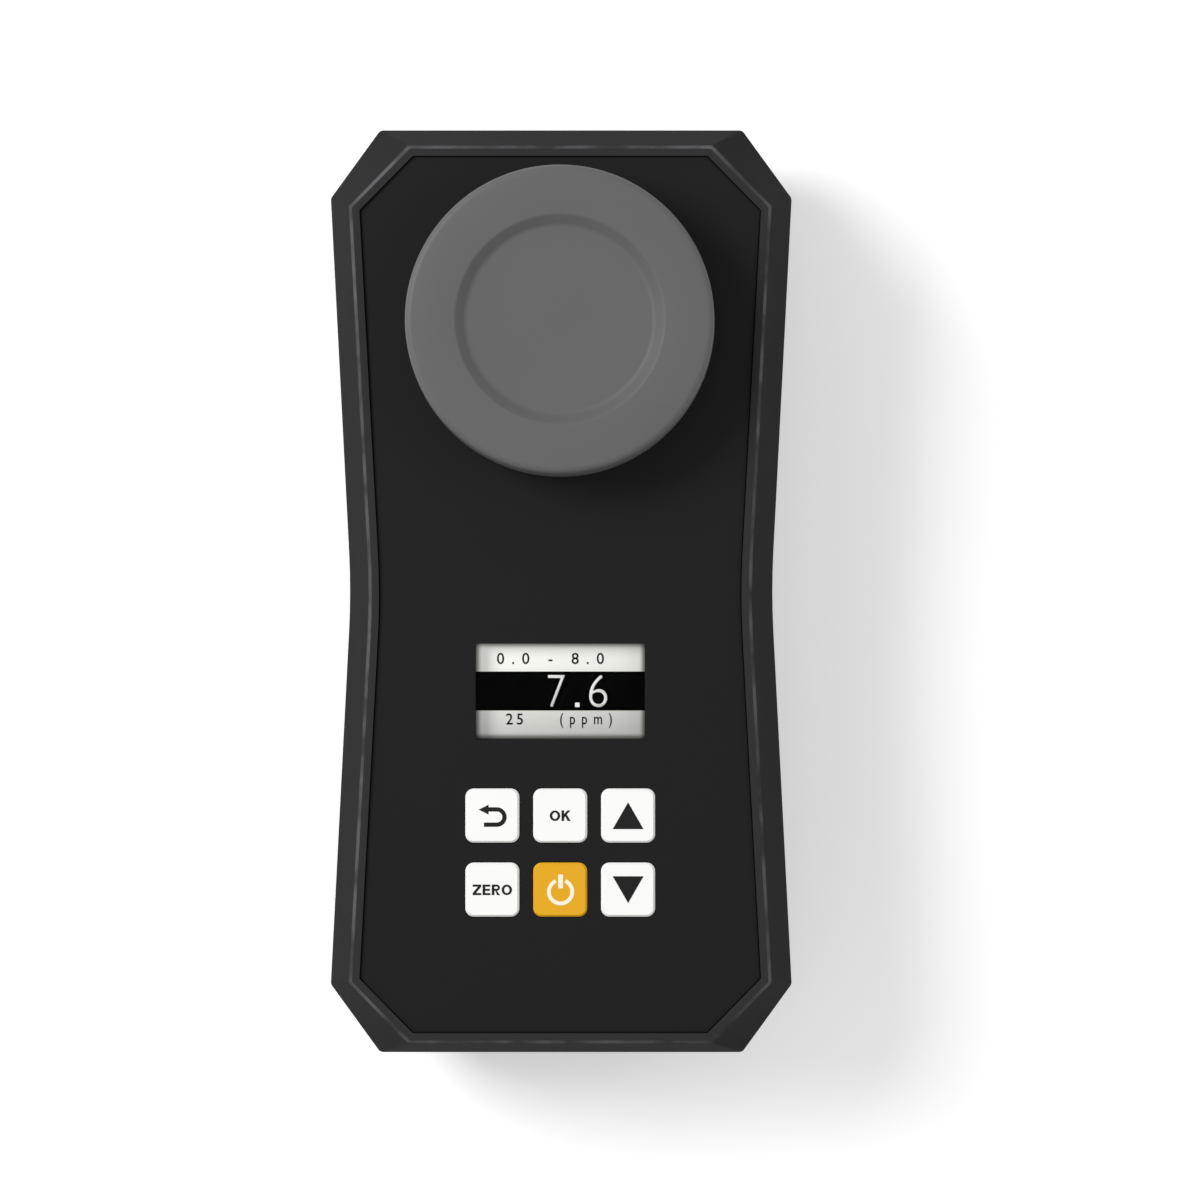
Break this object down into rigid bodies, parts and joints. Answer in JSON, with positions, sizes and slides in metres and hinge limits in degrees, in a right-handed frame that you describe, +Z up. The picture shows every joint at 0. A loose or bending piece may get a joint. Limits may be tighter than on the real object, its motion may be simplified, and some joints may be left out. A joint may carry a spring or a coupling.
{
  "type": "handheld photometer",
  "caption": "Handheld water photometer with a waisted black housing, round grey light cap over a sample well, small display and square keys",
  "frame": {"origin": "middle of the footprint on the table, at the underside of the rubber feet, the meter lying on its back", "axes": "+Y along the meter towards the measuring chamber, +Z up out of the face, +X to the right as the display is read"},
  "size_m": [0.084, 0.168, 0.057],
  "materials": {
    "housing_plastic": "fine moulded texture",
    "panel_film": "satin",
    "cap_plastic": "satin",
    "dark_plastic": "matt",
    "key_white": "satin",
    "key_amber": "satin",
    "lens": "clear",
    "glass": "polished",
    "backlight_plastic": "gloss",
    "rubber": "matt",
    "steel": "zinc plated",
    "contact_metal": "nickel plated",
    "battery_jacket": "gloss",
    "lead_red": "gloss",
    "lead_black": "gloss",
    "board": "solder mask",
    "chip": "moulded",
    "radio_can": "satin",
    "green_lamp": "clear",
    "yellow_lamp": "clear",
    "red_lamp": "clear"
  },
  "bodies": {
    "housing": {"front_shell": "housing_plastic", "back_shell": "housing_plastic", "battery_cover": "housing_plastic", "front_panel": "panel_film", "chamber_collar": "dark_plastic", "cell_retainer": "dark_plastic", "chamber_block": "dark_plastic", "lcd_frame": "dark_plastic", "board_connectors": "dark_plastic", "key_switches": "dark_plastic", "display_window": "lens", "cuvette": "glass", "lcd_glass": "glass", "backlight": "backlight_plastic", "housing_gasket": "rubber", "battery_gasket": "rubber", "cuvette_seal": "rubber", "foot_1": "rubber", "foot_2": "rubber", "foot_3": "rubber", "foot_4": "rubber", "housing_screws": "steel", "battery_cover_screws": "steel", "board_screws": "steel", "chamber_screws": "steel", "retainer_screws": "steel", "battery_plates": "contact_metal", "battery_springs": "contact_metal", "key_snaps": "contact_metal", "battery_1": "battery_jacket", "battery_2": "battery_jacket", "battery_3": "battery_jacket", "lead_red": "lead_red", "lead_black": "lead_black", "main_board": "board", "light_board": "board", "detector_board": "board", "processor_chip": "chip", "board_capacitors": "chip", "photodiode_530": "chip", "photodiode_570": "chip", "photodiode_620": "chip", "radio_module": "radio_can", "light_source_530": "green_lamp", "light_filter_530": "green_lamp", "light_source_570": "yellow_lamp", "light_filter_570": "yellow_lamp", "light_source_620": "red_lamp", "light_filter_620": "red_lamp"},
    "cap": {"light_cap": "cap_plastic", "cap_insert": "dark_plastic", "cap_seal": "rubber", "cap_screws": "steel"},
    "key_back": {"key_back": "key_white"},
    "key_ok": {"key_ok": "key_white"},
    "key_up": {"key_up": "key_white"},
    "key_zero": {"key_zero": "key_white"},
    "key_power": {"key_power": "key_amber"},
    "key_down": {"key_down": "key_white"}
  },
  "joints": [
    {"name": "key_back_press", "type": "slide", "parent": "housing", "child": "key_back", "axis": [0, 0, -1], "range_m": [0, 0.0005], "stiffness_N_per_m": 3000},
    {"name": "key_ok_press", "type": "slide", "parent": "housing", "child": "key_ok", "axis": [0, 0, -1], "range_m": [0, 0.0005], "stiffness_N_per_m": 3000},
    {"name": "key_up_press", "type": "slide", "parent": "housing", "child": "key_up", "axis": [0, 0, -1], "range_m": [0, 0.0005], "stiffness_N_per_m": 3000},
    {"name": "key_zero_press", "type": "slide", "parent": "housing", "child": "key_zero", "axis": [0, 0, -1], "range_m": [0, 0.0005], "stiffness_N_per_m": 3000},
    {"name": "key_power_press", "type": "slide", "parent": "housing", "child": "key_power", "axis": [0, 0, -1], "range_m": [0, 0.0005], "stiffness_N_per_m": 3000},
    {"name": "key_down_press", "type": "slide", "parent": "housing", "child": "key_down", "axis": [0, 0, -1], "range_m": [0, 0.0005], "stiffness_N_per_m": 3000},
    {"name": "cap_lift", "type": "slide", "parent": "housing", "child": "cap", "axis": [0, 0, 1], "range_m": [0, 0.06]}
  ]
}
